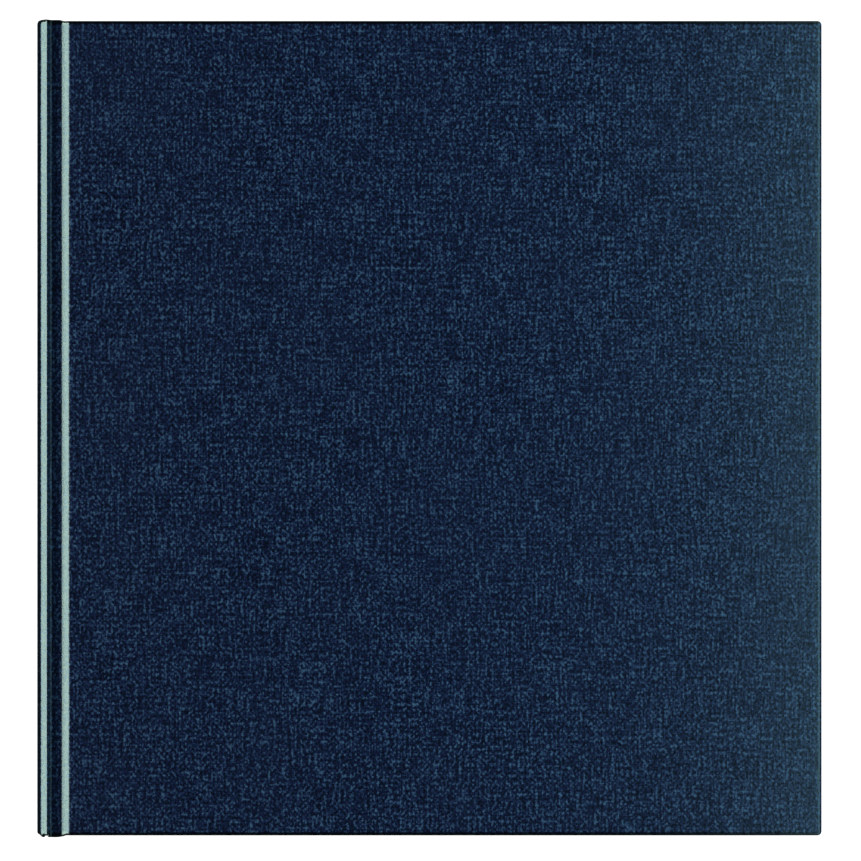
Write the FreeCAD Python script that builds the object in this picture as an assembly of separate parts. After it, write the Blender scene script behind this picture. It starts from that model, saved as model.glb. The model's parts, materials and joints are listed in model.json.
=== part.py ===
"""Case-bound pilot logbook, lying closed on its back cover.

The book is a sewn block of folded sections, held in a cloth-covered case by its endpapers and
by the mull glued over its back. X runs from the spine to the fore edge, Y from the tail to the
head and Z up through the thickness. The origin is under the middle of the closed book.
Millimetres throughout.
"""

import FreeCAD, Part

import math
import os

Vector = FreeCAD.Vector

# The case
CASE_WIDTH = 232.0        # spine face to fore edge
CASE_HEIGHT = 240.0       # tail to head of the boards
CLOTH = 0.4               # book cloth with its paper backing and glue
BOARD = 2.5               # grey board of the two covers
SPINE_BOARD = 1.9         # stiffener of the spine
TURN_IN = 15.0            # cloth folded over on the inside of a board
ROLL = 1.2                # bevel that the hot joint iron leaves on a board's hinge edge
JOINT_GAP = 5.0           # back of the block to a board's hinge edge
BEAD_DROP = 3.0           # how far a bead's outer foot lies under its crest
BEAD_KNEE = 0.9           # where a bead's slope changes, from the spine's face
BEAD_KNEE_DROP = 1.25     # and from its crest
BEAD_CREST_ROUND = 0.3
SPINE_PROUD = 0.5         # how far the spine stands past the boards at head and tail
JOINT_PROUD = 0.8         # the same for the cloth pressed into a joint
JOINT_FLOOR = 0.6         # joint cloth's lower face, above the turn-ins' face
JOINT_BEND = 0.6          # bend at the foot of the joint's steep side
JOINT_FOOT = 2.4          # board's hinge edge to where the cloth starts to rise
JOINT_REST = 0.32         # board's hinge edge to the top of that rise
JOINT_TOP = 1.2           # top of the rise, under the cover's face
SPINE_LIP = 1.6           # top of the joint's steep side, under the cover's face
SPINE_LIP_GAP = 0.05      # air between that edge and the spine's cloth
END_FOLD = 1.2            # spine cloth folded in at head and tail, from the cover's face
BOARD_CORNER = 0.4        # rounding of a cover board's fore corners
CLOTH_CORNER = 0.7        # rounding of the cloth over them
CLOTH_EDGE = 0.35         # rounding of the cloth along a board's free edges
PAPER_CORNER = 0.5

# The block
SECTIONS = 16             # folded sections of eight leaves each
TURNING_SECTIONS = 3      # the first ones, which turn over one by one
SECTION_PITCH = 1.0
SECTION = 0.97            # thickness of one pressed section
SQUARE = 3.4              # how far the boards stand past the block
FOLD_ROUND = 0.4          # rounding of a section's fold
FLYLEAF = 0.18
STATION_Y = (-98.0, -59.0, -20.0, 20.0, 59.0, 98.0)    # where the sewing crosses the back
THREAD_RADIUS = 0.18

# Linings and papers
PASTEDOWN = 0.2
PASTEDOWN_MARGIN = 3.0    # board left showing round a pastedown
STEP = 0.3                # how far a pastedown drops from the turn-ins to the board
MULL = 0.25
LINER = 0.25
MULL_FLAP = 0.15          # the same gauze where it is pressed under a pastedown
MULL_FLAP_REACH = 30.0
MULL_REACH = 104.0        # middle of the book to the mull's head and tail
STRIP_GAP = 0.3           # air between a flexing strip and the block's back
BOARD_GAP = 0.05          # air between a flexing strip and a board
DIP_SLOPE = 1.0           # width over which a pastedown drops from the turn-ins
BAND_RADIUS = 0.9         # rolled edge of a headband
BAND_TAB = 11.0           # tape of a headband that is glued down the back
BAND_TAPE = 0.36          # depth of that tape behind the back
END_CLEAR = 0.1           # how far the back's linings stop short of the outer sections
GLUE = 0.02               # air that stands for a film of glue
REST_GAP = 0.1            # air between a pastedown and the block's outer leaf

# Worked out from the above
UNDER_MULL = 2 * (THREAD_RADIUS + GLUE)
LINING_STACK = UNDER_MULL + MULL + LINER
HOLLOW = 0.3                                            # air in the hollow back
SPINE_INNER = -(LINING_STACK + HOLLOW)                  # spine board's inner face, from the block's back
SPINE_FACE = SPINE_INNER - SPINE_BOARD - CLOTH          # the outside of the spine
BACK = -CASE_WIDTH / 2 - SPINE_FACE                     # X of the block's back
FORE = CASE_WIDTH / 2
HEAD = CASE_HEIGHT / 2
BLOCK_FORE = FORE - SQUARE
BLOCK_HEAD = HEAD - SQUARE
COVER = CLOTH + BOARD + CLOTH + PASTEDOWN               # outside of a cover to its pastedown
BLOCK_BOTTOM = COVER + REST_GAP
SECTIONS_BOTTOM = BLOCK_BOTTOM + FLYLEAF + GLUE
SECTIONS_TOP = SECTIONS_BOTTOM + SECTIONS * SECTION_PITCH
THICKNESS = SECTIONS_TOP + SECTIONS_BOTTOM
HINGE_X = BACK + JOINT_GAP

PARTS = "parts"


def box(x0, x1, y0, y1, z0, z1):
    return Part.makeBox(x1 - x0, y1 - y0, z1 - z0, Vector(x0, y0, z0))


def outline(points, reach):
    """A prism from an X-Z outline, running from -reach to reach along Y."""
    corners = [Vector(x, -reach, z) for x, z in points]
    face = Part.Face(Part.makePolygon(corners + corners[:1]))
    return face.extrude(Vector(0, 2 * reach, 0))


def rounded(shape, radius, wanted):
    """The shape with the straight edges that pass the wanted test rounded."""
    edges = [e for e in shape.Edges if wanted(e)]
    return shape.makeFillet(radius, edges)


def runs(edge, axis):
    """True if an edge runs along an axis: 0 for X, 1 for Y, 2 for Z."""
    start, end = edge.Vertexes[0].Point, edge.Vertexes[-1].Point
    others = [i for i in range(3) if i != axis]
    return all(abs(start[i] - end[i]) < 1e-6 for i in others)


def at_fore_corner(edge):
    return runs(edge, 2) and edge.BoundBox.XMin > 0


def mirrored(shape):
    """The same piece of the back cover, made from the front cover's one."""
    return shape.mirror(Vector(0, 0, THICKNESS / 2), Vector(0, 0, 1))


def save(name, *solids):
    shape = solids[0] if len(solids) == 1 else Part.makeCompound(list(solids))
    if not shape.isValid():
        raise ValueError(f"{name} is not a valid shape")
    shape.exportStep(os.path.join(PARTS, name + ".step"))
    volume = sum(s.Volume for s in shape.Solids)
    print(f"{name:24s} {len(shape.Solids):3d} solids {volume:12.1f} mm3")


# Front cover

BOARD_TOP = THICKNESS - CLOTH
BOARD_UNDER = BOARD_TOP - BOARD
TURN_IN_UNDER = BOARD_UNDER - CLOTH
PASTEDOWN_FACE = TURN_IN_UNDER - PASTEDOWN


def bevelled(fore, top, under, bevel, reach):
    """A plate from the hinge edge to the fore edge, with the hinge edge's upper corner bevelled."""
    points = [
        (HINGE_X, under),
        (HINGE_X, top - bevel),
        (HINGE_X + bevel, top),
        (fore, top),
        (fore, under),
    ]
    return outline(points, reach)


def cover_board():
    plate = bevelled(FORE - CLOTH, BOARD_TOP, BOARD_UNDER, ROLL, HEAD - CLOTH)
    return rounded(plate, BOARD_CORNER, at_fore_corner)


def cover_cloth():
    """Cloth over the outside of the board and turned in round its three free edges."""
    envelope = bevelled(FORE, THICKNESS, TURN_IN_UNDER, ROLL, HEAD)
    envelope = rounded(envelope, CLOTH_CORNER, at_fore_corner)

    def on_free_rim(edge):
        at_hinge = runs(edge, 1) and edge.BoundBox.XMax < 0
        return edge.BoundBox.ZMin > THICKNESS - 1e-3 and not at_hinge

    envelope = rounded(envelope, CLOTH_EDGE, on_free_rim)
    window = box(
        HINGE_X - 1, FORE - CLOTH - TURN_IN,
        -HEAD + CLOTH + TURN_IN, HEAD - CLOTH - TURN_IN,
        TURN_IN_UNDER - 1, BOARD_UNDER,
    )
    return envelope.cut(cover_board()).cut(window)


def joint_cloth():
    """Cloth pressed into the joint, from the bead of the spine down and up to the board."""
    bead_x = BACK + SPINE_INNER + CLOTH
    floor = TURN_IN_UNDER + JOINT_FLOOR
    halfway = JOINT_BEND * (1 - math.cos(math.pi / 4))
    start = Vector(bead_x, 0, THICKNESS - SPINE_LIP)
    down = Vector(bead_x, 0, floor + JOINT_BEND)
    middle = Vector(bead_x + halfway, 0, floor + halfway)
    flat = Vector(bead_x + JOINT_BEND, 0, floor)
    foot = Vector(HINGE_X - JOINT_FOOT, 0, floor)
    rise = Vector(HINGE_X - JOINT_REST, 0, THICKNESS - JOINT_TOP)
    path = Part.Wire([
        Part.LineSegment(start, down).toShape(),
        Part.Arc(down, middle, flat).toShape(),
        Part.LineSegment(flat, foot).toShape(),
        Part.LineSegment(foot, rise).toShape(),
    ])
    strips = [path.makeOffset2D(side * CLOTH, 0, True, True) for side in (-1, 1)]
    strip = min(strips, key=lambda s: s.BoundBox.ZMin)
    reach = HEAD + JOINT_PROUD
    strip.translate(Vector(0, -reach, 0))
    solid = strip.extrude(Vector(0, 2 * reach, 0))
    return solid.Solids[0] if solid.Solids else Part.Solid(solid)


def mull_flap():
    """Gauze pressed between the board and the pastedown."""
    return box(
        HINGE_X + STRIP_GAP, BACK + MULL_FLAP_REACH, -MULL_REACH, MULL_REACH,
        BOARD_UNDER - MULL_FLAP, BOARD_UNDER,
    )


def pastedown():
    """Endpaper glued to the inside: over the turn-ins at its rim, down to the board within them."""
    fore = FORE - PASTEDOWN_MARGIN
    head = HEAD - PASTEDOWN_MARGIN
    sheet = box(HINGE_X, fore, -head, head, PASTEDOWN_FACE, BOARD_UNDER)
    sheet = rounded(sheet, PAPER_CORNER, at_fore_corner)
    dip_in = CLOTH + TURN_IN + DIP_SLOPE
    dip = box(
        HINGE_X - 1, FORE - dip_in, dip_in - HEAD, HEAD - dip_in,
        PASTEDOWN_FACE - 1, PASTEDOWN_FACE + STEP,
    )
    return sheet.cut(cover_cloth()).cut(dip).cut(mull_flap())


def endpaper_joint():
    """The endpaper's free strip, which flexes in the joint."""
    return box(
        BACK + STRIP_GAP, HINGE_X - BOARD_GAP, -BLOCK_HEAD, BLOCK_HEAD,
        PASTEDOWN_FACE, TURN_IN_UNDER,
    )


def mull_joint():
    """The mull's free strip, between the endpaper and the cloth of the joint."""
    return box(
        BACK + STRIP_GAP, HINGE_X - BOARD_GAP, -MULL_REACH, MULL_REACH,
        TURN_IN_UNDER, TURN_IN_UNDER + MULL_FLAP,
    )


def save_covers():
    pieces = {
        "board": cover_board(),
        "cloth": cover_cloth(),
        "joint_cloth": joint_cloth(),
        "pastedown": pastedown(),
        "mull_flap": mull_flap(),
        "endpaper_joint": endpaper_joint(),
        "mull_joint": mull_joint(),
    }
    for name, shape in pieces.items():
        save("front_" + name, shape)
        save("back_" + name, mirrored(shape))


# Spine of the case


def spine_envelope(reach, inset=0.0):
    """The spine with its two beads, from its outer face to its inner one."""
    face = BACK + SPINE_FACE
    inner = BACK + SPINE_INNER + CLOTH
    front = [
        (inner, THICKNESS),
        (face + BEAD_KNEE, THICKNESS - BEAD_KNEE_DROP),
        (face, THICKNESS - BEAD_DROP),
    ]
    back = [(x, THICKNESS - z) for x, z in reversed(front)]
    corners = [Vector(x, -reach, z) for x, z in front + back]
    rim = Part.makePolygon(corners + corners[:1])
    if inset:
        rim = rim.makeOffset2D(-inset)
    solid = Part.Face(rim).extrude(Vector(0, 2 * reach, 0))
    past_knee = face + BEAD_KNEE + 2 * CLOTH
    return rounded(
        solid, BEAD_CREST_ROUND, lambda e: runs(e, 1) and e.BoundBox.Center.x > past_knee)


def spine_board():
    return spine_envelope(HEAD - CLOTH, CLOTH)


def spine_cloth():
    """Cloth round the outside of the spine board, folded in at its head and tail."""
    reach = HEAD + SPINE_PROUD
    inner = BACK + SPINE_INNER
    lip = SPINE_LIP - SPINE_LIP_GAP
    hollow = box(inner, inner + CLOTH + 1, -reach - 1, reach + 1, lip, THICKNESS - lip)
    end = box(
        BACK + SPINE_FACE + CLOTH, inner, HEAD - CLOTH, HEAD + 0.1,
        END_FOLD, THICKNESS - END_FOLD,
    )
    tail = end.mirror(Vector(0, 0, 0), Vector(0, 1, 0))
    return spine_envelope(reach).cut(spine_board()).cut(hollow).cut(end).cut(tail)


# Sewn block


def section(number):
    """One folded section of the block. Number 1 is under the front cover."""
    top = SECTIONS_TOP - (number - 1) * SECTION_PITCH - (SECTION_PITCH - SECTION) / 2
    sheet = box(BACK, BLOCK_FORE, -BLOCK_HEAD, BLOCK_HEAD, top - SECTION, top)
    return rounded(sheet, FOLD_ROUND, lambda e: runs(e, 1) and e.BoundBox.XMax < BACK + 1)


def flyleaf():
    top = THICKNESS - BLOCK_BOTTOM
    return box(BACK + STRIP_GAP, BLOCK_FORE, -BLOCK_HEAD, BLOCK_HEAD, top - FLYLEAF, top)


def kettle_stitches():
    """Threads that link the sections across the back, one at each sewing station."""
    low = SECTIONS_BOTTOM + END_CLEAR
    length = SECTIONS_TOP - END_CLEAR - low
    x = BACK - THREAD_RADIUS - GLUE / 2
    return [
        Part.makeCylinder(THREAD_RADIUS, length, Vector(x, y, low), Vector(0, 0, 1))
        for y in STATION_Y
    ]


def headband():
    """Rolled cloth edge at the head of the back, with the tape that glues it down."""
    low, high = SECTIONS_BOTTOM + END_CLEAR, SECTIONS_TOP - END_CLEAR
    back_x = BACK - BAND_TAPE
    roll_y = BLOCK_HEAD + BAND_RADIUS + GLUE
    roll = Part.makeCylinder(
        BAND_RADIUS, high - low, Vector(back_x + BAND_RADIUS, roll_y, low), Vector(0, 0, 1))
    tape = box(back_x, BACK - 2 * GLUE, BLOCK_HEAD - BAND_TAB, roll_y, low, high)
    return roll.fuse(tape).removeSplitter()


def lining(x_near, thickness, reach):
    return box(
        BACK - x_near - thickness, BACK - x_near, -reach, reach,
        SECTIONS_BOTTOM + END_CLEAR, SECTIONS_TOP - END_CLEAR,
    )


def save_block():
    for number in range(1, SECTIONS + 1):
        save(f"section_{number:02d}", section(number))
    save("front_flyleaf", flyleaf())
    save("back_flyleaf", mirrored(flyleaf()))
    save("sewing_thread", *kettle_stitches())
    save("headband", headband())
    save("tailband", headband().mirror(Vector(0, 0, 0), Vector(0, 1, 0)))
    save("spine_mull", lining(UNDER_MULL, MULL, MULL_REACH))
    save("spine_liner", lining(UNDER_MULL + MULL, LINER, BLOCK_HEAD - BAND_RADIUS))


def main():
    os.makedirs(PARTS, exist_ok=True)
    save_covers()
    save("spine_board", spine_board())
    save("spine_cloth", spine_cloth())
    save_block()
    turned = ", ".join(f"section_{n:02d}" for n in range(1, TURNING_SECTIONS + 1))
    print(f"thickness {THICKNESS:.2f}, block's back at x {BACK:.2f}, turning: {turned}")


main()
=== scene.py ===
"""Looks of a case-bound pilot logbook: linen-grain case, endpapers, sewn ledger sections.

Metres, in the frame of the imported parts: X runs from the spine to the fore edge, Y from the
tail to the head and Z up through the closed book, which lies on its back cover.
"""

import json
import math
import random

import bpy
from mathutils import Matrix, Vector, noise

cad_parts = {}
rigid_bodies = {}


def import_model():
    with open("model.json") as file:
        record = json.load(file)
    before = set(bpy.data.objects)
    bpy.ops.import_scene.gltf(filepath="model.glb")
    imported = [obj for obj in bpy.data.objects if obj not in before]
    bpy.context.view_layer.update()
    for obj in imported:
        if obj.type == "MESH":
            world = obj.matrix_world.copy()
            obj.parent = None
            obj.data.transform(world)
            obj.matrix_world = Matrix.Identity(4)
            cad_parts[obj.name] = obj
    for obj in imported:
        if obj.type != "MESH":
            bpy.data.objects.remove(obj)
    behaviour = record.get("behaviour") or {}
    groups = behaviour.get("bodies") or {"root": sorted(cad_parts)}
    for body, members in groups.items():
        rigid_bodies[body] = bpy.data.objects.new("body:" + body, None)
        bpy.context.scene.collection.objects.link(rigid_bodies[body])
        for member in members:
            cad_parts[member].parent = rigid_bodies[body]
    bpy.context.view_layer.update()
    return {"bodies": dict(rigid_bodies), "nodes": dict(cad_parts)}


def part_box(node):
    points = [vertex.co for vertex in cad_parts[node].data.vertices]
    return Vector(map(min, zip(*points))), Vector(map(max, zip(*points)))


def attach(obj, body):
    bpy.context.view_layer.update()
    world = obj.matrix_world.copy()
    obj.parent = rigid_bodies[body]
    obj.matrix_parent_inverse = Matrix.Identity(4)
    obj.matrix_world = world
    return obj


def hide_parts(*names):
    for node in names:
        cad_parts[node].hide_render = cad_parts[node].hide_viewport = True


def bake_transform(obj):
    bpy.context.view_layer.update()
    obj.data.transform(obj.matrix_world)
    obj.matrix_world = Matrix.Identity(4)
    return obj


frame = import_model()

MM = 0.001
rng = random.Random(7)

# Places and sizes, from the frame

SPINE_LOW, SPINE_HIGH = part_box("spine_cloth")
COVER_LOW, COVER_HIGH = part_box("front_cloth")
PASTE_LOW, PASTE_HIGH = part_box("front_pastedown")
STRIP_LOW, STRIP_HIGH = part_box("front_endpaper_joint")
FLAP_LOW, FLAP_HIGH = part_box("front_mull_flap")
FLY_LOW, FLY_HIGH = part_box("front_flyleaf")
FIRST_LOW, FIRST_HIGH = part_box("section_01")

THICKNESS = COVER_HIGH.z
MIDDLE = THICKNESS / 2
SPINE_FACE = SPINE_LOW.x
FORE = COVER_HIGH.x
HINGE_X = COVER_LOW.x
BLOCK_HALF = FIRST_HIGH.y
BACK_WIDTH = FIRST_HIGH.x - FIRST_LOW.x
MIRROR = Matrix.Translation((0, 0, THICKNESS)) @ Matrix.Scale(-1, 4, (0, 0, 1))

# Driving dimensions of the soft parts

CLOTH = 0.38 * MM              # book cloth, as it is glued down
CLOTH_SLACK = 0.38 * MM        # how far it stands past the boards at the head and tail
EDGE_ROUND = 1.25 * MM         # how far in from a board's edge its cloth starts to fall away
BOARD_SQUARENESS = 3.2         # of a fold over a board: 2 is a full round, more is squarer
SPINE_SQUARENESS = 2.4
JOINT_SQUARENESS = 2.0
TURN_IN = 15 * MM
SPINE_FOLD = 1.1 * MM          # how far in from the ends the spine's cloth starts to fold over

# Cross-section of the front joint and the bead on the spine, from the spine's face inward

BEAD_DROP = 3.1 * MM           # the bead's outer round leaves the spine's face here
BEAD_NOSE = 1.06 * MM          # the point that this round bends towards
NOSE_DROP = 1.32 * MM
ROOF_END = 1.4 * MM            # the bead's straight slope runs from here up to its crest
ROOF_DROP = 1.08 * MM
CREST = 3.12 * MM
CREST_ROUND = 0.14 * MM
CREST_DROP = 0.02 * MM
SEAM = 3.8 * MM                # where the spine's cloth passes under the joint's
WALL_FOOT = 4.25 * MM          # foot of the bead's steep side
GROOVE = 5.45 * MM             # crease along the bottom of the joint
CREASE = 0.03 * MM             # depth and half width of that crease
CREASE_HALF = 0.55 * MM
RISE_FOOT = 7.08 * MM          # where the cloth starts to rise to the board
ROLL_TOP = 10.0 * MM           # where the board's rolled edge is flat again
GROOVE_DEPTH = 1.6 * MM

# How far the soft parts stand past the cloth of the boards, at the head or the tail

SPINE_HEAD_PROUD = 0.45 * MM
JOINT_HEAD_PROUD = 0.38 * MM
JOINT_TAIL_PROUD = 0.62 * MM

# Leaves, endpapers and headbands

PAPER = 0.11 * MM              # ledger leaf
ENDPAPER = 0.19 * MM
SECTIONS = 16
LEAVES = 8                     # in one section
TURN_BEND = 42 * MM            # length of leaf, next to the back, that is given closely spaced points
BAND_STRIPE = 1.9 * MM         # one light and one dark stripe of a headband

HEAD = COVER_HIGH.y + CLOTH_SLACK
TEXT_BLOCK = "text_block"


# Shader maths


class Socket:
    """A shader value that Python's operators add Math nodes to."""

    def __init__(self, finish, link):
        self.finish = finish
        self.link = link

    def __add__(self, other):
        return self.finish.maths("ADD", self, other)

    def __sub__(self, other):
        return self.finish.maths("SUBTRACT", self, other)

    def __rsub__(self, other):
        return self.finish.maths("SUBTRACT", other, self)

    def __mul__(self, other):
        return self.finish.maths("MULTIPLY", self, other)

    def __truediv__(self, other):
        return self.finish.maths("DIVIDE", self, other)

    def __rtruediv__(self, other):
        return self.finish.maths("DIVIDE", other, self)

    __radd__ = __add__
    __rmul__ = __mul__


class Finish:
    """One material. Every node in it comes from the method node."""

    def __init__(self, name):
        self.material = bpy.data.materials.new(name)
        self.material.use_nodes = True
        self.tree = self.material.node_tree
        self.tree.nodes.clear()

    def node(self, kind, settings=None, inputs=None, output=0):
        made = self.tree.nodes.new("ShaderNode" + kind)
        for key, value in (settings or {}).items():
            if key == "stops":
                self.set_stops(made.color_ramp, value)
            else:
                setattr(made, key, value)
        for key, value in (inputs or {}).items():
            if isinstance(value, Socket):
                self.tree.links.new(value.link, made.inputs[key])
            else:
                made.inputs[key].default_value = value
        return Socket(self, made.outputs[output]) if made.outputs else made

    @staticmethod
    def set_stops(ramp, stops):
        while len(ramp.elements) < len(stops):
            ramp.elements.new(1)
        for element, (place, colour) in zip(ramp.elements, stops):
            element.position = place
            element.color = (*colour, 1)

    def maths(self, operation, *values):
        return self.node("Math", {"operation": operation}, dict(enumerate(values)))

    def spread(self, value, low, high, to_low=0.0, to_high=1.0):
        """The value carried from one range to another, and held at its ends."""
        return self.node("MapRange", {"clamp": True}, {
            0: value, 1: low, 2: high, 3: to_low, 4: to_high})

    def mixed(self, share, first, second):
        """A colour between two, as a share from 0 to 1 says."""
        colours = {k: (*c, 1) if isinstance(c, tuple) else c for k, c in ((6, first), (7, second))}
        return self.node("Mix", {"data_type": "RGBA"}, {0: share, **colours}, output=2)

    def lay(self):
        """Where a point lies on the cloth or paper: along, across and which layer."""
        return self.node("Attribute", {"attribute_name": "lay"}, output=1)

    def scaled(self, vector, by):
        return self.node("VectorMath", {"operation": "MULTIPLY"}, {0: vector, 1: by})

    def grain(self, vector, by, detail=2.0, roughness=0.5):
        """Cloudy noise; by says how many clouds to a metre each way."""
        return self.node("TexNoise", None, {
            "Vector": self.scaled(vector, by), "Scale": 1.0, "Detail": detail,
            "Roughness": roughness, "Distortion": 0.0})

    def parts(self, vector):
        """The along and across values of a vector."""
        return (
            self.node("SeparateXYZ", None, {0: vector}, output=0),
            self.node("SeparateXYZ", None, {0: vector}, output=1),
        )

    def pulled(self):
        """Painted shade: 1 on cloth round an edge that faces away from the lamps, 0 where it lies
        flat.
        """
        return self.node("Attribute", {"attribute_name": "pulled"}, output=2)

    def surface(self, colour, roughness, height=None, bump=None, **plain):
        """Closes the material with one Principled shader."""
        inputs = {"Base Color": colour, "Roughness": roughness}
        for key, value in plain.items():
            inputs[key.replace("_", " ").title().replace("Ior", "IOR")] = value
        if height is not None:
            strength, distance = bump
            inputs["Normal"] = self.node("Bump", None, {
                "Strength": strength, "Distance": distance, "Height": height})
        shader = self.node("BsdfPrincipled", None, inputs)
        self.node("OutputMaterial", None, {0: shader})
        return self.material


# Finishes


def book_cloth_finish():
    """Dyed linen-grain book cloth: uneven threads and slubs under a filled, slightly glossy face.

    Painted shade: cloth round the edges that face away from the lamps (the head, the tail and the
    outside of the spine's bead) is painted near black, and it is also smoother.
    """
    f = Finish("book_cloth")
    lay = f.lay()
    sway = f.grain(lay, (420, 90, 0), detail=1)
    sway_across = f.grain(lay, (90, 420, 1), detail=1)
    along, across = f.parts(lay)
    pitch = 0.76 * MM
    warp_place = along * (math.pi / pitch) + sway * 5.0
    weft_place = across * (math.pi / pitch) + sway_across * 5.0
    crossing = f.maths("COSINE", warp_place) * f.maths("COSINE", weft_place)
    warp_slub = f.grain(lay, (1500, 105, 2), detail=2, roughness=0.6)
    weft_slub = f.grain(lay, (70, 1300, 3), detail=2, roughness=0.6)
    fleck = f.grain(lay, (1150, 900, 4), detail=3, roughness=0.62)
    fine = f.grain(lay, (2600, 2300, 5), detail=2)
    threads = (
        crossing * 0.16
        + f.spread(warp_slub, 0.36, 0.64, -0.5, 0.5) * 0.42
        + f.spread(weft_slub, 0.38, 0.62, -0.5, 0.5) * 0.24
        + f.spread(fleck, 0.36, 0.64, -0.5, 0.5) * 0.9
        + (fine - 0.5) * 0.8
    )
    lit = f.spread(threads, -0.39, 0.53)
    patches = f.grain(lay, (26, 17, 6), detail=3)
    body = f.node("ValToRGB", {"stops": [
        (0.00, (0.0000, 0.0000, 0.0050)),
        (0.40, (0.0016, 0.0040, 0.0480)),
        (0.66, (0.0130, 0.0330, 0.1300)),
        (1.00, (0.0760, 0.1850, 0.3500)),
    ]}, {0: lit})
    hue = f.grain(lay, (1600, 1300, 7), detail=1)
    tinted = f.mixed(f.spread(hue, 0.45, 0.75, 0, 0.45), body, (0.007, 0.052, 0.082))
    violet = f.grain(lay, (1500, 1700, 8), detail=1)
    tinted = f.mixed(f.spread(violet, 0.48, 0.72, 0, 0.5), tinted, (0.026, 0.014, 0.084))
    tinted = f.mixed(f.spread(patches, 0.35, 0.7, 0, 0.22), tinted, (0.012, 0.021, 0.075))
    pulled = f.pulled()
    # Painted shade: the cloth round edges that face away from the lamps is mixed to near black.
    tinted = f.mixed(pulled * 0.97, tinted, (0.0002, 0.0004, 0.0016))
    roughness = f.spread(lit, 0, 1, 0.24, 0.37) - pulled * 0.13
    return f.surface(
        tinted, roughness, height=threads, bump=(0.4, 0.05 * MM),
        specular_ior_level=1.0, specular_tint=(0.62, 0.97, 1.0, 1.0))


def grey_board_finish():
    """Recycled grey board: flecked faces and a layered, cut edge."""
    f = Finish("grey_board")
    place = f.node("TexCoord", None, None, output=3)
    fibre = f.grain(place, (900, 700, 2600), detail=4, roughness=0.7)
    fleck = f.grain(place, (420, 420, 420), detail=1)
    colour = f.mixed(f.spread(fibre, 0.3, 0.7), (0.19, 0.175, 0.15), (0.34, 0.32, 0.28))
    colour = f.mixed(f.spread(fleck, 0.66, 0.74, 0, 0.6), colour, (0.08, 0.075, 0.08))
    return f.surface(colour, 0.9, height=fibre, bump=(0.5, 0.1 * MM))


def paper_fibre(f, lay, light, dark):
    """The mottle of a paper, as a colour and a height."""
    cloud = f.grain(lay, (160, 160, 0), detail=5, roughness=0.62)
    fibre = f.grain(lay, (1700, 620, 1), detail=3, roughness=0.6)
    colour = f.mixed(f.spread(cloud, 0.3, 0.7), light, dark)
    return colour, fibre + cloud * 0.6


def endpaper_finish():
    """Plain cream paper, heavier and warmer than the ledger leaves."""
    f = Finish("endpaper")
    colour, height = paper_fibre(f, f.lay(), (0.80, 0.775, 0.70), (0.745, 0.715, 0.635))
    return f.surface(colour, 0.78, height=height, bump=(0.22, 0.05 * MM), specular_ior_level=0.3)


def ledger_paper_finish():
    """Account-book paper printed with a blank flight table: head band, columns and rows."""
    f = Finish("ledger_paper")
    lay = f.lay()
    colour, height = paper_fibre(f, lay, (0.83, 0.81, 0.735), (0.785, 0.76, 0.68))
    along, across = f.parts(lay)
    left, right = 13 * MM, BACK_WIDTH - 8 * MM
    foot, top = -BLOCK_HALF + 12 * MM, BLOCK_HALF - 13 * MM
    heading = 15 * MM
    rows = 18
    row = (top - heading - foot) / rows
    fine_line, bold_line = 0.1 * MM, 0.22 * MM

    def line(value, place, half):
        return f.maths("COMPARE", value, place, half)

    inside_along = line(along, (left + right) / 2, (right - left) / 2)
    inside_across = line(across, (top + foot) / 2, (top - foot) / 2)
    inside = inside_along * inside_across
    row_place = f.maths("FRACT", (across - foot) / row + 0.5)
    below_heading = f.maths("LESS_THAN", across, top - heading + fine_line)
    row_lines = line(row_place, 0.5, 0.09 * MM / row) * inside * below_heading
    group_edges = (0.0, 0.29, 0.61, 1.0)
    column_edges = (0.0, 0.085, 0.19, 0.29, 0.37, 0.45, 0.53, 0.61, 0.69, 0.77, 0.85, 1.0)
    column_lines = None
    for share in column_edges:
        half = bold_line if share in group_edges else fine_line
        one = line(along, left + share * (right - left), half)
        column_lines = one if column_lines is None else f.maths("MAXIMUM", column_lines, one)
    column_lines = column_lines * inside_across
    cross_lines = line(across, top - heading * 0.45, fine_line)
    for place in (foot, top, top - heading):
        cross_lines = f.maths("MAXIMUM", cross_lines, line(across, place, bold_line))
    cross_lines = cross_lines * inside_along
    ink = f.maths("MAXIMUM", f.maths("MAXIMUM", row_lines, column_lines), cross_lines)
    head_tint = inside_along * line(across, top - heading / 2, heading / 2)
    total_tint = inside_along * line(across, foot + row * 1.5, row * 1.5)
    hours = line(along, left + 0.73 * (right - left), 0.12 * (right - left))
    colour = f.mixed(f.maths("MAXIMUM", head_tint, total_tint) * 0.30, colour, (0.42, 0.60, 0.66))
    colour = f.mixed(hours * inside_across * 0.16, colour, (0.50, 0.66, 0.52))
    broken = f.spread(f.grain(lay, (2400, 2400, 3), detail=1), 0.3, 0.55, 0.55, 0.95)
    colour = f.mixed(ink * broken, colour, (0.12, 0.23, 0.33))
    return f.surface(colour, 0.72, height=height, bump=(0.16, 0.04 * MM), specular_ior_level=0.3)


def mull_finish():
    """Open starched gauze with glue showing between its threads."""
    f = Finish("mull")
    lay = f.lay()
    along, across = f.parts(lay)
    pitch = 0.9 * MM
    sway = f.grain(lay, (60, 60, 0), detail=2) * 2.4
    warp = f.maths("ABSOLUTE", f.maths("SINE", along * (math.pi / pitch) + sway))
    weft = f.maths("ABSOLUTE", f.maths("SINE", across * (math.pi / pitch) + sway))
    thread = f.spread(f.maths("MAXIMUM", warp, weft), 0.80, 0.97)
    fuzz = f.grain(lay, (3200, 3200, 1), detail=2)
    colour = f.mixed(thread, (0.40, 0.36, 0.28), (0.78, 0.75, 0.67))
    colour = f.mixed(f.spread(fuzz, 0.4, 0.7, 0, 0.25), colour, (0.86, 0.84, 0.78))
    return f.surface(colour, 0.85, height=thread + fuzz * 0.3, bump=(0.8, 0.15 * MM))


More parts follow.
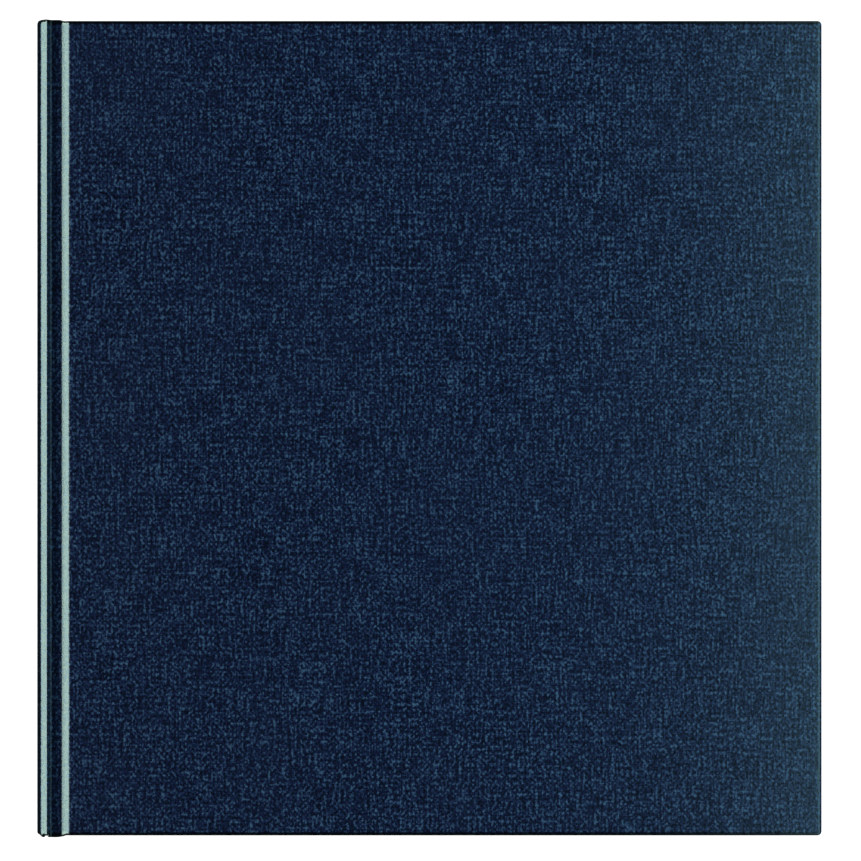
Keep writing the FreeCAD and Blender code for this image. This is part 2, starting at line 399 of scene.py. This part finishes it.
def kraft_finish():
    """Ribbed brown paper, streaked along its making direction."""
    f = Finish("kraft_liner")
    lay = f.lay()
    streak = f.grain(lay, (700, 130, 0), detail=4, roughness=0.66)
    ribs = f.maths("SINE", f.parts(lay)[1] * (2 * math.pi / (1.1 * MM)))
    colour = f.mixed(f.spread(streak, 0.3, 0.7), (0.30, 0.175, 0.085), (0.47, 0.30, 0.16))
    return f.surface(colour, 0.8, height=streak + ribs * 0.08, bump=(0.35, 0.08 * MM))


def headband_finish():
    """Cloth band in two colours, its threads wrapped round the roll."""
    f = Finish("headband_cloth")
    along, across = f.parts(f.lay())
    stripe = f.maths("SINE", along * (2 * math.pi / BAND_STRIPE))
    wrap = f.maths("ABSOLUTE", f.maths("SINE", along * (math.pi / (BAND_STRIPE / 6)) + across * 900))
    fuzz = f.grain(f.lay(), (3000, 3000, 0), detail=2)
    colour = f.mixed(f.spread(stripe, -0.12, 0.12), (0.70, 0.69, 0.64), (0.020, 0.045, 0.115))
    colour = f.mixed(f.spread(wrap + fuzz * 0.5, 0.2, 0.7, 0.55, 0.0), colour, (0.012, 0.016, 0.03))
    return f.surface(colour, 0.6, height=wrap + fuzz * 0.4, bump=(0.8, 0.08 * MM))


def thread_finish():
    """Unbleached linen thread, its light and dark following the twist."""
    f = Finish("linen_thread")
    along, across = f.parts(f.lay())
    twist = f.maths("SINE", along * (2 * math.pi / (0.5 * MM)) + across * (2 * math.pi))
    colour = f.mixed(f.spread(twist, -1, 1), (0.52, 0.47, 0.37), (0.80, 0.76, 0.66))
    return f.surface(colour, 0.7, height=twist, bump=(0.6, 0.06 * MM))


# Mesh work


def new_mesh(name, points, faces, lay, pulled=None):
    """A smooth piece that carries, for its finish, where each point lies on the flat material."""
    data = bpy.data.meshes.new(name)
    data.from_pydata(points, [], faces)
    places = data.attributes.new("lay", "FLOAT_VECTOR", "POINT")
    for item, place in zip(places.data, lay):
        item.vector = place
    # Painted shade: a mask of the edges that the lamps miss, which the cloth's finish paints near
    # black.
    if pulled is not None:
        data.attributes.new("pulled", "FLOAT", "POINT").data.foreach_set("value", pulled)
    data.validate()
    data.shade_smooth()
    made = bpy.data.objects.new(name, data)
    bpy.context.scene.collection.objects.link(made)
    return made


def apply_modifiers(made):
    """Keeps the shape that the modifiers give, and drops them."""
    graph = bpy.context.evaluated_depsgraph_get()
    data = bpy.data.meshes.new_from_object(made.evaluated_get(graph))
    made.modifiers.clear()
    old = made.data
    made.data = data
    bpy.data.meshes.remove(old)


def thicken(made, thickness, offset=-1.0):
    """Gives a sheet its thickness, on the side away from its face unless offset says otherwise."""
    sharp_from = math.radians(50)
    solid = made.modifiers.new("thickness", "SOLIDIFY")
    solid.thickness = thickness
    solid.offset = offset
    solid.use_even_offset = False
    solid.use_quality_normals = True
    apply_modifiers(made)
    made.data.set_sharp_from_angle(angle=sharp_from)


def grid_faces(columns, rows, start=0, flip=False):
    """Quads of a grid that is stored column by column."""
    faces = []
    for i in range(columns - 1):
        for j in range(rows - 1):
            a = start + i * rows + j
            quad = (a, a + rows, a + rows + 1, a + 1)
            faces.append(quad[::-1] if flip else quad)
    return faces


def sheet(name, grid, lay, flip=False, pulled=None):
    """A piece from a grid of points, face up unless it is flipped."""
    points = [p for column in grid for p in column]
    places = [p for column in lay for p in column]
    marks = [m for column in pulled for m in column] if pulled else None
    return new_mesh(name, points, grid_faces(len(grid), len(grid[0]), flip=flip), places, marks)


class Welded:
    """The points and faces of a mesh in which points at one place are one point."""

    def __init__(self):
        self.points, self.lay, self.pulled, self.faces = [], [], [], []
        self.numbers = {}

    # Painted shade: the last value marks a point on an edge that the lamps miss.
    def point(self, place, lay, pulled=0.0):
        key = tuple(round(value, 8) for value in place)
        if key not in self.numbers:
            self.numbers[key] = len(self.points)
            self.points.append(place)
            self.lay.append(lay)
            self.pulled.append(pulled)
        return self.numbers[key]

    def join(self, lines):
        """Faces between each line of points and the next; a corner that is doubled is dropped."""
        for a, b in zip(lines, lines[1:]):
            for k in range(len(a) - 1):
                face = tuple(dict.fromkeys((a[k], a[k + 1], b[k + 1], b[k])))
                if len(face) > 2:
                    self.faces.append(face)


def steps(low, high, size):
    """Evenly spaced values from low to high, about size apart."""
    count = max(1, round((high - low) / size))
    return [low + (high - low) * i / count for i in range(count + 1)]


def graded(*stretches):
    """Values along several stretches: a start, and then (end, spacing) pairs."""
    start = stretches[0]
    values = [start]
    for end, size in stretches[1:]:
        values += steps(values[-1], end, size)[1:]
    return values


def smooth(t):
    """A gentle step: 0 below 0, 1 above 1, level at both ends."""
    t = min(1.0, max(0.0, t))
    return t * t * (3 - 2 * t)


def eased(t, corner):
    """A straight slope from 0 to 1 whose two ends are rounded over a share of its length."""
    t = min(1.0, max(0.0, t))
    tall = 1 - corner
    if t < corner:
        return t * t / (2 * corner * tall)
    if t > 1 - corner:
        return 1 - (1 - t) ** 2 / (2 * corner * tall)
    return (t - corner / 2) / tall


def curved(start, control, end, count):
    """Points that follow start on a quadratic curve, the last of them at its end."""
    points = []
    for k in range(1, count + 1):
        t = k / count
        a, b, c = (1 - t) ** 2, 2 * t * (1 - t), t * t
        points.append(tuple(a * p + b * q + c * r for p, q, r in zip(start, control, end)))
    return points


def finish_piece(made, material, replaced):
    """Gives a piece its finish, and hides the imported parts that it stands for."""
    made.data.materials.clear()
    made.data.materials.append(material)
    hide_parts(*replaced)


def upside(made, back):
    """The back cover's piece is the front one's mirror image through the middle of the block."""
    if back:
        made.data.transform(MIRROR)
        made.data.flip_normals()


# The case


def joint_height(s):
    """Height of the front cloth's face at a distance s from the spine's face."""
    floor = THICKNESS - GROOVE_DEPTH
    if s <= WALL_FOOT:
        wall = smooth((WALL_FOOT - s) / (WALL_FOOT - CREST))
        return floor + GROOVE_DEPTH * wall ** 0.9
    if s >= RISE_FOOT:
        rise = (s - RISE_FOOT) / (ROLL_TOP - RISE_FOOT)
        rounded = 0.5 - 0.5 * math.cos(math.pi * min(1.0, rise))
        share_round = 0.12
        return floor + GROOVE_DEPTH * (
            share_round * rounded + (1 - share_round) * eased(rise, corner=0.16))
    return floor - CREASE * smooth(1 - abs(s - GROOVE) / CREASE_HALF)


def under_height(s):
    """Height of the turned-in cloth's face on the inside of the front cover."""
    board = COVER_LOW.z
    rise = 2.2 * MM
    in_joint = joint_height(s) - 2.3 * CLOTH
    share = smooth((s - (HINGE_X - SPINE_FACE) + rise) / rise)
    return in_joint + (board - in_joint) * share


def proud(s, head):
    """How far the cloth of the joint stands past the boards, at the head or the tail."""
    if head:
        fade, end = 1.6 * MM, 8.2 * MM
        return JOINT_HEAD_PROUD * smooth((end - s) / fade)
    fullest, reach = 5.2 * MM, 3.4 * MM
    inside = max(0.0, 1 - ((s - fullest) / reach) ** 2)
    return JOINT_TAIL_PROUD * inside ** 0.7


def fold_squareness(s):
    """A full round over the joint, and squarer over the board."""
    board_from, change = 6 * MM, 2 * MM
    share = smooth((s - board_from) / change)
    return JOINT_SQUARENESS + (BOARD_SQUARENESS - JOINT_SQUARENESS) * share


def wrap(share, squareness):
    """Outward and downward shares of a cloth's way round an edge; share runs from 0 to 1."""
    angle = math.pi * share
    power = 2 / squareness
    out = abs(math.sin(angle)) ** power
    down = abs(math.cos(angle)) ** power
    return out, (1 - down) / 2 if share <= 0.5 else (1 + down) / 2


def rim(xs, ys, fore_in, side_in):
    """Stations round a cover's flat face: a place, and the way that faces out there."""
    arc = 7
    turns = [math.pi / 2 * k / arc for k in range(arc + 1)]
    stations = [(x, -side_in, 0.0, -1.0) for x in xs[:-1]]
    stations += [(fore_in, -side_in, math.sin(a), -math.cos(a)) for a in turns]
    stations += [(fore_in, y, 1.0, 0.0) for y in ys[1:-1]]
    stations += [(fore_in, side_in, math.cos(a), math.sin(a)) for a in turns]
    stations += [(x, side_in, 0.0, 1.0) for x in reversed(xs[:-1])]
    return stations


def turned_in(x, y, outward, fore_in, side_in, depth):
    """Where cloth from the rim lies at a depth inside it; the corners are mitred."""
    corner_x = fore_in - depth
    corner_y = side_in - depth
    if outward > 0.5:
        return corner_x, y * corner_y / side_in
    mitre_from = fore_in - 40 * MM
    if x > mitre_from:
        x = mitre_from + (x - mitre_from) * (corner_x - mitre_from) / (fore_in - mitre_from)
    return x, math.copysign(corner_y, y)


def cover_cloth(name, back, material, replaced):
    """Cloth of one cover: from the joint over the board, round its edges, and turned in."""
    side_in = HEAD - EDGE_ROUND
    fore_in = FORE - EDGE_ROUND
    start = SPINE_FACE + SEAM - 0.25 * MM
    xs = graded(
        start, (SPINE_FACE + ROLL_TOP + 0.2 * MM, 0.3 * MM), (HINGE_X + 12 * MM, 2 * MM),
        (fore_in - TURN_IN - 5 * MM, 6 * MM), (fore_in, 2 * MM))
    ys = graded(
        -side_in, (-side_in + 20 * MM, 2.5 * MM), (side_in - 20 * MM, 6 * MM),
        (side_in, 2.5 * MM))
    cloth = Welded()
    for x in xs:
        z = joint_height(x - SPINE_FACE)
        for y in ys:
            cloth.point((x, y, z), (x, y, 0))
    cloth.faces += grid_faces(len(xs), len(ys))

    rounds = 18
    inward = graded(0, (1.2 * MM, 0.6 * MM), (TURN_IN - EDGE_ROUND, 2.7 * MM))[1:]
    lines = []
    for x, y, nx, ny in rim(xs, ys, fore_in, side_in):
        s = x - SPINE_FACE
        high, low = joint_height(s), under_height(s)
        past = EDGE_ROUND + (proud(s, ny > 0) if nx == 0 else 0)
        squareness = fold_squareness(s)
        line = []
        for k in range(rounds + 1):
            out, down = wrap(k / rounds, squareness)
            reach = past * out
            run = reach + (high - low) * down
            # Painted shade: the round over the head and tail edges, which the lamps at the spine and
            # the fore edge don't light, is marked to be painted near black; the fore edge is left
            # lit.
            pulled = 0.0
            if k and nx <= 0.5:
                pulled = smooth((out - 0.04) / 0.3) * smooth(2.2 - 2 * down)
            line.append(cloth.point(
                (x + nx * reach, y + ny * reach, high + (low - high) * down),
                (x + nx * run, y + ny * run, 0), pulled))
        for depth in inward:
            run = past + (high - low) + depth
            line.append(cloth.point(
                (*turned_in(x, y, nx, fore_in, side_in, depth), low),
                (x + nx * run, y + ny * run, 0)))
        lines.append(line)
    cloth.join(lines)
    made = new_mesh(name, cloth.points, cloth.faces, cloth.lay, cloth.pulled)
    thicken(made, CLOTH)
    upside(made, back)
    finish_piece(made, material, replaced)
    cover_blend(made)


def spine_tail_proud(s):
    """How far the spine's cloth stands past the boards at the tail: a nib on the bead."""
    slack, nib = 0.06 * MM, 0.5 * MM
    centre, half, fade = 1.25 * MM, 0.9375 * MM, 0.75 * MM
    inside = smooth((half - abs(s - centre)) / fade)
    return (slack + nib * inside) * smooth(s / (0.5 * MM))


def spine_profile():
    """The spine cloth's face in cross-section, from the front joint round to the back joint."""
    tuck, tuck_depth = 0.3 * MM, 0.2 * MM
    half = []
    for s in (SEAM + tuck, CREST + 0.16 * MM):
        sunk = tuck_depth * smooth((s - SEAM + tuck) / (2 * tuck))
        half.append((s, joint_height(s) - sunk))
    crest = (CREST - CREST_ROUND, THICKNESS - CREST_ROUND)
    roof = (ROOF_END, THICKNESS - ROOF_DROP)
    halfway = ((crest[0] + roof[0]) / 2, (crest[1] + roof[1]) / 2)
    half += curved(half[-1], (CREST, THICKNESS - CREST_DROP), crest, 4)
    half += curved(crest, halfway, roof, 6)
    half += curved(roof, (BEAD_NOSE, THICKNESS - NOSE_DROP), (0.0, THICKNESS - BEAD_DROP), 10)
    return half + [(0.0, MIDDLE)] + [(s, THICKNESS - z) for s, z in reversed(half)]


def spine_painted_shade(s, y, z, folded, fold_from):
    """Painted shade: 1 on the spine's cloth round its ends and round the outside of a bead, which
    face away from the lamps.
    """
    at_end = 0.0 if folded else smooth((abs(y) - fold_from + 0.3 * MM) / (0.9 * MM))
    from_face = MIDDLE - abs(z - MIDDLE)
    outside = smooth((1.22 * MM - s) / (0.3 * MM)) * smooth((3.6 * MM - from_face) / (1.2 * MM))
    return min(1.0, at_end + outside)


def spine_cloth(material):
    """Cloth round the spine board, folded in at its head and tail."""
    fold_from = HEAD - SPINE_FOLD
    inner_s = SPINE_HIGH.x - SPINE_FACE
    inner_share = 0.88
    fold_length = 2.5 * MM
    rounds = 12
    folds = [wrap(k / rounds, SPINE_SQUARENESS) for k in range(1, rounds + 1)]
    along = [(y, 0.0) for y in steps(-fold_from, fold_from, 4 * MM)]
    inside = [(fold_from - 1 * MM, 1.0), (HEAD - TURN_IN, 1.0)]
    profile = spine_profile()
    before = profile[0]
    run = 0.0
    grid, lay, pulled = [], [], []
    for s, z in profile:
        run += math.hypot(s - before[0], z - before[1])
        before = (s, z)
        inner_z = MIDDLE + (z - MIDDLE) * inner_share
        past_head = SPINE_FOLD + SPINE_HEAD_PROUD
        past_tail = SPINE_FOLD + spine_tail_proud(s)
        head = [(fold_from + past_head * out, down) for out, down in folds] + inside
        tail = [(fold_from + past_tail * out, down) for out, down in folds] + inside
        column, places, marks = [], [], []
        for y, down in [(-y, down) for y, down in reversed(tail)] + along + head:
            column.append((SPINE_FACE + s + (inner_s - s) * down, y, z + (inner_z - z) * down))
            places.append((run, y + math.copysign(fold_length * down, y), 0))
            # Painted shade: the spine cloth's ends and the outside of its bead are marked to be
            # painted near black.
            marks.append(spine_painted_shade(s, y, z, down >= 0.5, fold_from))
        grid.append(column)
        lay.append(places)
        pulled.append(marks)
    made = sheet("spine_case_cloth", grid, lay, flip=True, pulled=pulled)
    thicken(made, CLOTH)
    finish_piece(made, material, ("spine_cloth",))
    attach(made, TEXT_BLOCK)


# Papers and linings of a cover


def cover_blend(made):
    """Bakes a piece's place into its points; the piece is left in no body."""
    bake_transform(made)


def endpaper(name, back, material, replaced):
    """The glued half of an endpaper with its free strip in the joint. The turn-ins show through."""
    fore = PASTE_HIGH.x
    half = PASTE_HIGH.y
    xs = graded(
        STRIP_LOW.x, (HINGE_X + 1 * MM, 0.35 * MM), (fore - 30 * MM, 6 * MM),
        (fore - 18 * MM, 1.5 * MM), (fore - 9 * MM, 0.5 * MM), (fore, 1.5 * MM))
    ys = graded(
        -half, (-half + 9 * MM, 1.5 * MM), (-half + 18 * MM, 0.5 * MM), (half - 18 * MM, 6 * MM),
        (half - 9 * MM, 0.5 * MM), (half, 1.5 * MM))
    step_down, step_width = 0.28 * MM, 1.2 * MM
    mitre_rise, mitre_half = 0.10 * MM, 1.6 * MM
    gap = 0.02 * MM
    grid, lay = [], []
    for x in xs:
        strip = smooth((HINGE_X - x) / step_width)
        reach = 1 + (STRIP_HIGH.y / half - 1) * strip
        column, places = [], []
        for y in ys:
            from_fore = FORE - x
            from_side = HEAD - abs(y)
            off_turn_in = smooth((min(from_fore, from_side) - TURN_IN - CLOTH) / step_width)
            mitre = 0.0
            if from_fore < TURN_IN and from_side < TURN_IN:
                mitre = mitre_rise * smooth(1 - abs(from_fore - from_side) / mitre_half)
            z = PASTE_LOW.z + gap + step_down * off_turn_in * (1 - strip) - mitre
            column.append((x, y * reach, z))
            places.append((x, y, 10 if back else 11))
        grid.append(column)
        lay.append(places)
    made = sheet(name, grid, lay, flip=True)
    thicken(made, ENDPAPER)
    upside(made, back)
    finish_piece(made, material, replaced)
    cover_blend(made)


def cover_mull(name, back, material, replaced):
    """Gauze from the block's back, through the joint and on to the inside of the board."""
    xs = graded(STRIP_LOW.x, (HINGE_X + 1 * MM, 0.5 * MM), (FLAP_HIGH.x, 3 * MM))
    ys = steps(-FLAP_HIGH.y, FLAP_HIGH.y, 4 * MM)
    pull = 0.25 * MM
    in_joint = PASTE_LOW.z + ENDPAPER + 0.06 * MM
    on_board = FLAP_LOW.z + 0.02 * MM
    grid, lay = [], []
    for x in xs:
        up = smooth((x - HINGE_X + 0.6 * MM) / (1.6 * MM))
        z = in_joint + (on_board - in_joint) * up
        grid.append([(x, y + pull * noise.noise((x * 300, y * 120, 3)), z) for y in ys])
        lay.append([(x, y, 0) for y in ys])
    made = sheet(name, grid, lay, flip=True)
    thicken(made, 0.1 * MM)
    upside(made, back)
    finish_piece(made, material, replaced)
    cover_blend(made)


def flyleaf(name, back, material, replaced):
    """The free half of an endpaper."""
    xs = graded(FLY_LOW.x, (FLY_LOW.x + TURN_BEND, 1.2 * MM), (FLY_HIGH.x, 6 * MM))
    ys = steps(-FLY_HIGH.y, FLY_HIGH.y, 6 * MM)
    z = FLY_HIGH.z - 0.01 * MM
    grid = [[(x, y, z) for y in ys] for x in xs]
    lay = [[(x, y, 20 if back else 21) for y in ys] for x in xs]
    made = sheet(name, grid, lay)
    thicken(made, ENDPAPER - 0.03 * MM)
    upside(made, back)
    finish_piece(made, material, replaced)
    if back:
        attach(made, TEXT_BLOCK)
    else:
        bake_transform(made)


# Sewn block


def section(number, material, turning):
    """Four sheets folded together: eight leaves, trimmed a hair unevenly."""
    node = f"section_{number:02d}"
    low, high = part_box(node)
    centre = (low.z + high.z) / 2
    pitch = (high.z - low.z) / LEAVES
    points, faces, lay = [], [], []
    width = BACK_WIDTH
    if turning:
        flat = graded(0, (TURN_BEND, 1.4 * MM), (width - 1 * MM, 8 * MM), (width, 1 * MM))[1:]
    else:
        flat = graded(0, (6 * MM, 2 * MM), (width - 2 * MM, 30 * MM), (width, 2 * MM))[1:]
    fold_x = low.x + (high.z - low.z) / 2
    ys = graded(low.y, (low.y + 4 * MM, 2 * MM), (high.y - 4 * MM, 14 * MM), (high.y, 2 * MM))
    arc = 8
    waviness, frayed = 0.03 * MM, 8 * MM
    for folded in range(LEAVES // 2):
        reach = (LEAVES / 2 - 0.5 - folded) * pitch
        trims = [rng.uniform(-0.07, 0.03) * MM for _ in range(2)]
        ends = [rng.uniform(-0.06, 0.03) * MM for _ in range(2)]
        phase = rng.uniform(0, 50)
        path = []
        for leaf, sign in ((0, 1), (1, -1)):
            stretch = []
            for d in flat:
                x = low.x + max(d, fold_x - low.x) + trims[leaf] * d / width
                stretch.append((x, sign * reach, d))
            path.append(stretch)
        fold = []
        for k in range(arc + 1):
            angle = math.pi / 2 + math.pi * k / arc
            fold.append((fold_x + reach * math.cos(angle), reach * math.sin(angle), 0.0))
        line = list(reversed(path[0])) + fold + path[1]
        start = len(points)
        for x, rise, d in line:
            share = smooth(d / width)
            for y in ys:
                waver = waviness * noise.noise((y * 45, phase, 0)) * share
                past = ends[0] if y > 0 else -ends[1]
                at_end = smooth((abs(y) - high.y + frayed) / frayed)
                points.append((x + waver, y + past * at_end, centre + rise))
                lay.append((d, y, number * 4 + folded))
        faces += grid_faces(len(line), len(ys), start, flip=True)
    made = new_mesh(f"{node}_leaves", points, faces, lay)
    thicken(made, PAPER, offset=0.0)
    finish_piece(made, material, (node,))
    if turning:
        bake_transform(made)
    else:
        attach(made, TEXT_BLOCK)


def band(node, head, material):
    """Headband: a worked roll over the end of the back, and the tape that holds it."""
    low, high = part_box(node)
    sign = 1 if head else -1
    edge = BLOCK_HALF
    radius = (high.y - edge) / 2 if head else (-edge - low.y) / 2
    tape_x = low.x + 0.16 * MM
    centre = (low.x + radius, edge + radius)
    arc = 22
    wound = 1.72 * math.pi
    lump_depth = 0.06
    outline = [(tape_x, edge - 9 * MM), (tape_x, edge - 4 * MM), (tape_x, edge)]
    tape_points = len(outline)
    for k in range(arc + 1):
        angle = math.pi - wound * k / arc
        outline.append((centre[0] + radius * math.cos(angle), centre[1] + radius * math.sin(angle)))
    zs = steps(low.z + 0.05 * MM, high.z - 0.05 * MM, BAND_STRIPE / 10)
    grid, lay = [], []
    run = 0.0
    before = outline[0]
    for k, (x, y) in enumerate(outline):
        run += math.hypot(x - before[0], y - before[1])
        before = (x, y)
        column, places = [], []
        for z in zs:
            px, py = x, y
            if k >= tape_points:
                swell = abs(math.sin(math.pi * (z - zs[0]) / (BAND_STRIPE / 2)))
                lump = 1 - lump_depth * (1 - swell)
                px = centre[0] + (x - centre[0]) * lump
                py = centre[1] + (y - centre[1]) * lump
            column.append((px, sign * py, z))
            places.append((z - zs[0], run, 0))
        grid.append(column)
        lay.append(places)
    made = sheet(f"{node}_roll", grid, lay, flip=not head)
    thicken(made, 0.18 * MM)
    finish_piece(made, material, (node,))
    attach(made, TEXT_BLOCK)


def lining(name, node, material, ripple):
    """Gauze or paper glued over the back of the block."""
    low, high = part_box(node)
    ys = steps(low.y, high.y, 3 * MM)
    zs = steps(low.z, high.z, 0.8 * MM)
    grid, lay = [], []
    for z in zs:
        swells = [0.5 + 0.5 * noise.noise((y * 160, z * 400, 5)) for y in ys]
        grid.append([(low.x + ripple * swell, y, z) for y, swell in zip(ys, swells)])
        lay.append([(z, y, 0) for y in ys])
    made = sheet(name, grid, lay)
    thicken(made, (high.x - low.x) - ripple)
    finish_piece(made, material, (node,))
    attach(made, TEXT_BLOCK)


def grouped(values, gap):
    """Rising values in groups, where a step of more than gap starts a new group."""
    groups = [[values[0]]]
    for value in values[1:]:
        if value - groups[-1][-1] > gap:
            groups.append([])
        groups[-1].append(value)
    return groups


def sewing(material):
    """Linen thread linking the sections across the back, with a turn round each one."""
    low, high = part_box("sewing_thread")
    radius = 0.13 * MM
    out_swing, side_swing = 0.03 * MM, 0.32 * MM
    around = 8
    thread_ys = sorted({round(v.co.y, 3) for v in frame["nodes"]["sewing_thread"].data.vertices})
    stations = [sum(group) / len(group) for group in grouped(thread_ys, 5 * MM)]
    zs = steps(low.z + radius, high.z - radius, 0.125 * MM)
    pitch = (high.z - low.z) / SECTIONS
    points, faces, lay = [], [], []
    for y in stations:
        start = len(points)
        for z in zs:
            swing = math.sin(2 * math.pi * (z - low.z) / pitch)
            cx = (low.x + high.x) / 2 + out_swing * swing
            cy = y + side_swing * swing
            for j in range(around):
                angle = 2 * math.pi * j / around
                points.append((cx + radius * math.cos(angle), cy + radius * math.sin(angle), z))
                lay.append((z, j / around, 0))
        for k in range(len(zs) - 1):
            for j in range(around):
                a = start + k * around + j
                b = start + k * around + (j + 1) % around
                faces.append((a, b, b + around, a + around))
        faces.append(tuple(start + j for j in reversed(range(around))))
        last = start + (len(zs) - 1) * around
        faces.append(tuple(last + j for j in range(around)))
    made = new_mesh("sewing_threads", points, faces, lay)
    finish_piece(made, material, ("sewing_thread",))
    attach(made, TEXT_BLOCK)


# Studio


def floor():
    """A pale floor that lights itself, and that the book neither mirrors nor takes light from."""
    f = Finish("studio_floor")
    cloud = f.grain(f.node("TexCoord", None, None, output=3), (3, 3, 3), detail=2)
    colour = f.mixed(f.spread(cloud, 0.3, 0.7), (0.46, 0.46, 0.46), (0.44, 0.44, 0.44))
    material = f.surface(
        colour, 0.9, specular_ior_level=0.1,
        emission_color=(1.0, 1.0, 1.0, 1.0), emission_strength=0.97)
    half = 40.0
    z = -0.2 * MM
    corners = [(-half, -half, z), (half, -half, z), (half, half, z), (-half, half, z)]
    data = bpy.data.meshes.new("studio_floor")
    data.from_pydata(corners, [], [(0, 1, 2, 3)])
    data.materials.append(material)
    made = bpy.data.objects.new("studio_floor", data)
    bpy.context.scene.collection.objects.link(made)
    made.visible_glossy = False
    made.visible_diffuse = False


def softbox(name, place, aim, across, along, watts, colour):
    """A soft rectangular lamp; along is its size in Y."""
    light = bpy.data.lights.new(name, "AREA")
    light.shape = "RECTANGLE"
    light.size = across
    light.size_y = along
    light.energy = watts
    light.color = colour
    made = bpy.data.objects.new(name, light)
    made.location = place
    made.rotation_mode = "QUATERNION"
    lengthwise = Vector((0, 1, 0))
    back = (Vector(place) - Vector(aim)).normalized()
    sideways = lengthwise.cross(back)
    turn = Matrix((sideways, lengthwise, back)).transposed()
    made.rotation_quaternion = turn.to_quaternion()
    bpy.context.scene.collection.objects.link(made)


def lamps():
    """A low strip that the bead and the joint mirror, a soft near lamp, and a faint sky."""
    softbox(
        "strip_by_the_spine", place=(-1.30, 0, 0.46), aim=(-0.11, 0, 0.02),
        across=0.6, along=1.4, watts=21, colour=(1.0, 0.96, 0.82))
    softbox(
        "softbox_by_the_fore_edge", place=(0.24, 0, 0.27), aim=(0.09, 0, 0.02),
        across=0.16, along=1.6, watts=1.28, colour=(0.72, 0.98, 1.0))
    world = bpy.data.worlds.new("studio")
    world.use_nodes = True
    sky = world.node_tree.nodes["Background"]
    sky.inputs["Color"].default_value = (0.60, 0.74, 1.0, 1)
    sky.inputs["Strength"].default_value = 0.03
    bpy.context.scene.world = world


def camera():
    """Straight down on the front cover, from far enough off that the edges stay upright."""
    lens, sensor = 200, 36
    frame_width = 254.3 * MM
    aside, below = 0.41 * MM, 0.68 * MM
    data = bpy.data.cameras.new("camera")
    data.lens = lens
    data.sensor_width = sensor
    data.clip_end = 20
    made = bpy.data.objects.new("camera", data)
    made.location = (aside, -below, THICKNESS + frame_width * lens / sensor)
    bpy.context.scene.collection.objects.link(made)
    bpy.context.scene.camera = made


def main():
    """Makes each finish, and then each piece from the outside of the book inward."""
    cloth = book_cloth_finish()
    board = grey_board_finish()
    plain = endpaper_finish()
    ledger = ledger_paper_finish()
    gauze = mull_finish()
    kraft = kraft_finish()
    banding = headband_finish()
    thread = thread_finish()

    for node in ("front_board", "back_board", "spine_board"):
        made = frame["nodes"][node]
        made.data.materials.clear()
        made.data.materials.append(board)
    cover_cloth("front_case_cloth", False, cloth, ("front_cloth", "front_joint_cloth"))
    cover_cloth("back_case_cloth", True, cloth, ("back_cloth", "back_joint_cloth"))
    spine_cloth(cloth)
    endpaper("front_endpaper", False, plain, ("front_pastedown", "front_endpaper_joint"))
    endpaper("back_endpaper", True, plain, ("back_pastedown", "back_endpaper_joint"))
    cover_mull("front_gauze", False, gauze, ("front_mull_flap", "front_mull_joint"))
    cover_mull("back_gauze", True, gauze, ("back_mull_flap", "back_mull_joint"))
    flyleaf("front_free_leaf", False, plain, ("front_flyleaf",))
    flyleaf("back_free_leaf", True, plain, ("back_flyleaf",))
    for number in range(1, SECTIONS + 1):
        section(number, ledger, turning=f"section_{number:02d}" in frame["bodies"])
    band("headband", True, banding)
    band("tailband", False, banding)
    lining("spine_gauze", "spine_mull", gauze, 0.06 * MM)
    lining("spine_kraft", "spine_liner", kraft, 0.03 * MM)
    sewing(thread)
    floor()
    lamps()
    camera()
    bpy.context.scene.view_settings.view_transform = "Standard"


main()
